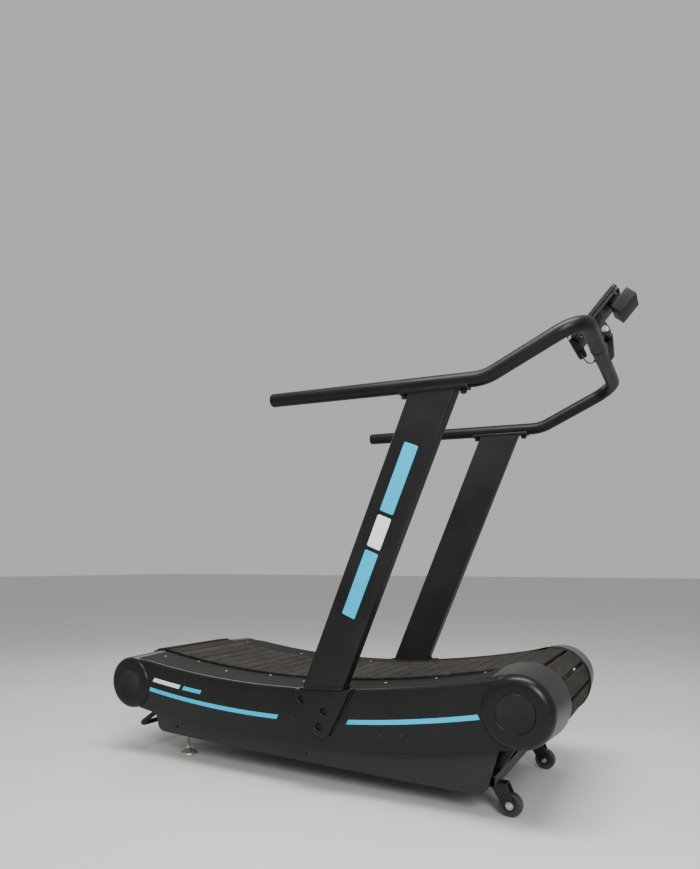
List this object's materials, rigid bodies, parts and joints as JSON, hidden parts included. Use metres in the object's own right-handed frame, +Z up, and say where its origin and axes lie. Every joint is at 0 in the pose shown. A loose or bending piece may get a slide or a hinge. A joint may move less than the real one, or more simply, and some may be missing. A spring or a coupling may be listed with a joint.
{
  "type": "curved manual treadmill",
  "caption": "Motorless curved treadmill: slat belt on a concave deck between drum-ended side covers, with hand rails on leaning uprights.",
  "frame": {"origin": "on the floor, at the middle of the length and of the width", "axes": "+X towards the console end, +Y to the left of a user on the belt, +Z up"},
  "size_m": [2.0653, 0.862, 1.7519],
  "materials": {
    "slat_rubber": "matte, dusty",
    "cover_plastic": "satin moulded",
    "footrest_plastic": "grained",
    "painted_steel": "satin powder coat",
    "zinc_steel": "zinc plated",
    "accent_vinyl": "satin vinyl",
    "console_plastic": "fine grain",
    "display_glass": "gloss",
    "wheel_rubber": "satin",
    "cable_rubber": "matte"
  },
  "bodies": {
    "frame": {"bar_plug_left": "cover_plastic", "bar_plug_right": "cover_plastic", "bar_saddle_left": "painted_steel", "bar_saddle_right": "painted_steel", "bearing_front_left": "zinc_steel", "bearing_front_right": "zinc_steel", "bearing_rear_left": "zinc_steel", "bearing_rear_right": "zinc_steel", "console_bracket": "painted_steel", "console_cable": "cable_rubber", "crossmember_front": "painted_steel", "crossmember_mid": "painted_steel", "crossmember_rear": "painted_steel", "end_cap_front_left": "cover_plastic", "end_cap_front_right": "cover_plastic", "end_cap_rear_left": "cover_plastic", "end_cap_rear_right": "cover_plastic", "footrest_left": "footrest_plastic", "footrest_right": "footrest_plastic", "handlebar": "painted_steel", "level_nut_left": "zinc_steel", "level_nut_right": "zinc_steel", "lift_handle": "painted_steel", "pivot_bolt": "zinc_steel", "roller_rail_left": "zinc_steel", "roller_rail_right": "zinc_steel", "side_cover_left": "cover_plastic", "side_cover_right": "cover_plastic", "side_plate_left": "painted_steel", "side_plate_right": "painted_steel", "side_rail_left": "painted_steel", "side_rail_right": "painted_steel", "skirt_left": "painted_steel", "skirt_right": "painted_steel", "slat_belt": "slat_rubber", "stripe_front_left": "accent_vinyl", "stripe_front_right": "accent_vinyl", "stripe_rear_left": "accent_vinyl", "stripe_rear_right": "accent_vinyl", "upright_bolts_left": "zinc_steel", "upright_bolts_right": "zinc_steel", "upright_bracket_left": "painted_steel", "upright_bracket_right": "painted_steel", "upright_left": "painted_steel", "upright_right": "painted_steel", "wheel_bolt_left": "zinc_steel", "wheel_bolt_right": "zinc_steel", "wheel_fork_left": "painted_steel", "wheel_fork_right": "painted_steel"},
    "front_drum": {"front_drum": "zinc_steel"},
    "rear_drum": {"rear_drum": "zinc_steel"},
    "console": {"console_bezel": "console_plastic", "console_display": "display_glass", "console_back": "console_plastic", "battery_box": "console_plastic", "console_pod": "console_plastic"},
    "wheel_right": {"wheel_right": "wheel_rubber"},
    "wheel_left": {"wheel_left": "wheel_rubber"},
    "level_foot_right": {"level_foot_right": "zinc_steel"},
    "level_foot_left": {"level_foot_left": "zinc_steel"}
  },
  "joints": [
    {"name": "front_drum_spin", "type": "hinge", "parent": "frame", "child": "front_drum", "pos_m": [0.727, 0, 0.367], "axis": [0, 1, 0], "continuous": true},
    {"name": "rear_drum_spin", "type": "hinge", "parent": "frame", "child": "rear_drum", "pos_m": [-0.905, 0, 0.314], "axis": [0, 1, 0], "continuous": true},
    {"name": "console_tilt", "type": "hinge", "parent": "frame", "child": "console", "pos_m": [0.935, 0, 1.607], "axis": [0, 1, 0], "range_deg": [-15, 15], "deforming": ["console_cable"]},
    {"name": "wheel_right_spin", "type": "hinge", "parent": "frame", "child": "wheel_right", "pos_m": [0.677, -0.271, 0.039], "axis": [0, 1, 0], "continuous": true},
    {"name": "wheel_left_spin", "type": "hinge", "parent": "frame", "child": "wheel_left", "pos_m": [0.677, 0.271, 0.039], "axis": [0, 1, 0], "continuous": true},
    {"name": "level_foot_right_screw", "type": "slide", "parent": "frame", "child": "level_foot_right", "axis": [0, 0, 1], "range_m": [-0.02, 0.006]},
    {"name": "level_foot_left_screw", "type": "slide", "parent": "frame", "child": "level_foot_left", "axis": [0, 0, 1], "range_m": [-0.02, 0.006]}
  ],
  "couplings": [
    {"joint": "rear_drum_spin", "follows": "front_drum_spin", "ratio": 1}
  ]
}
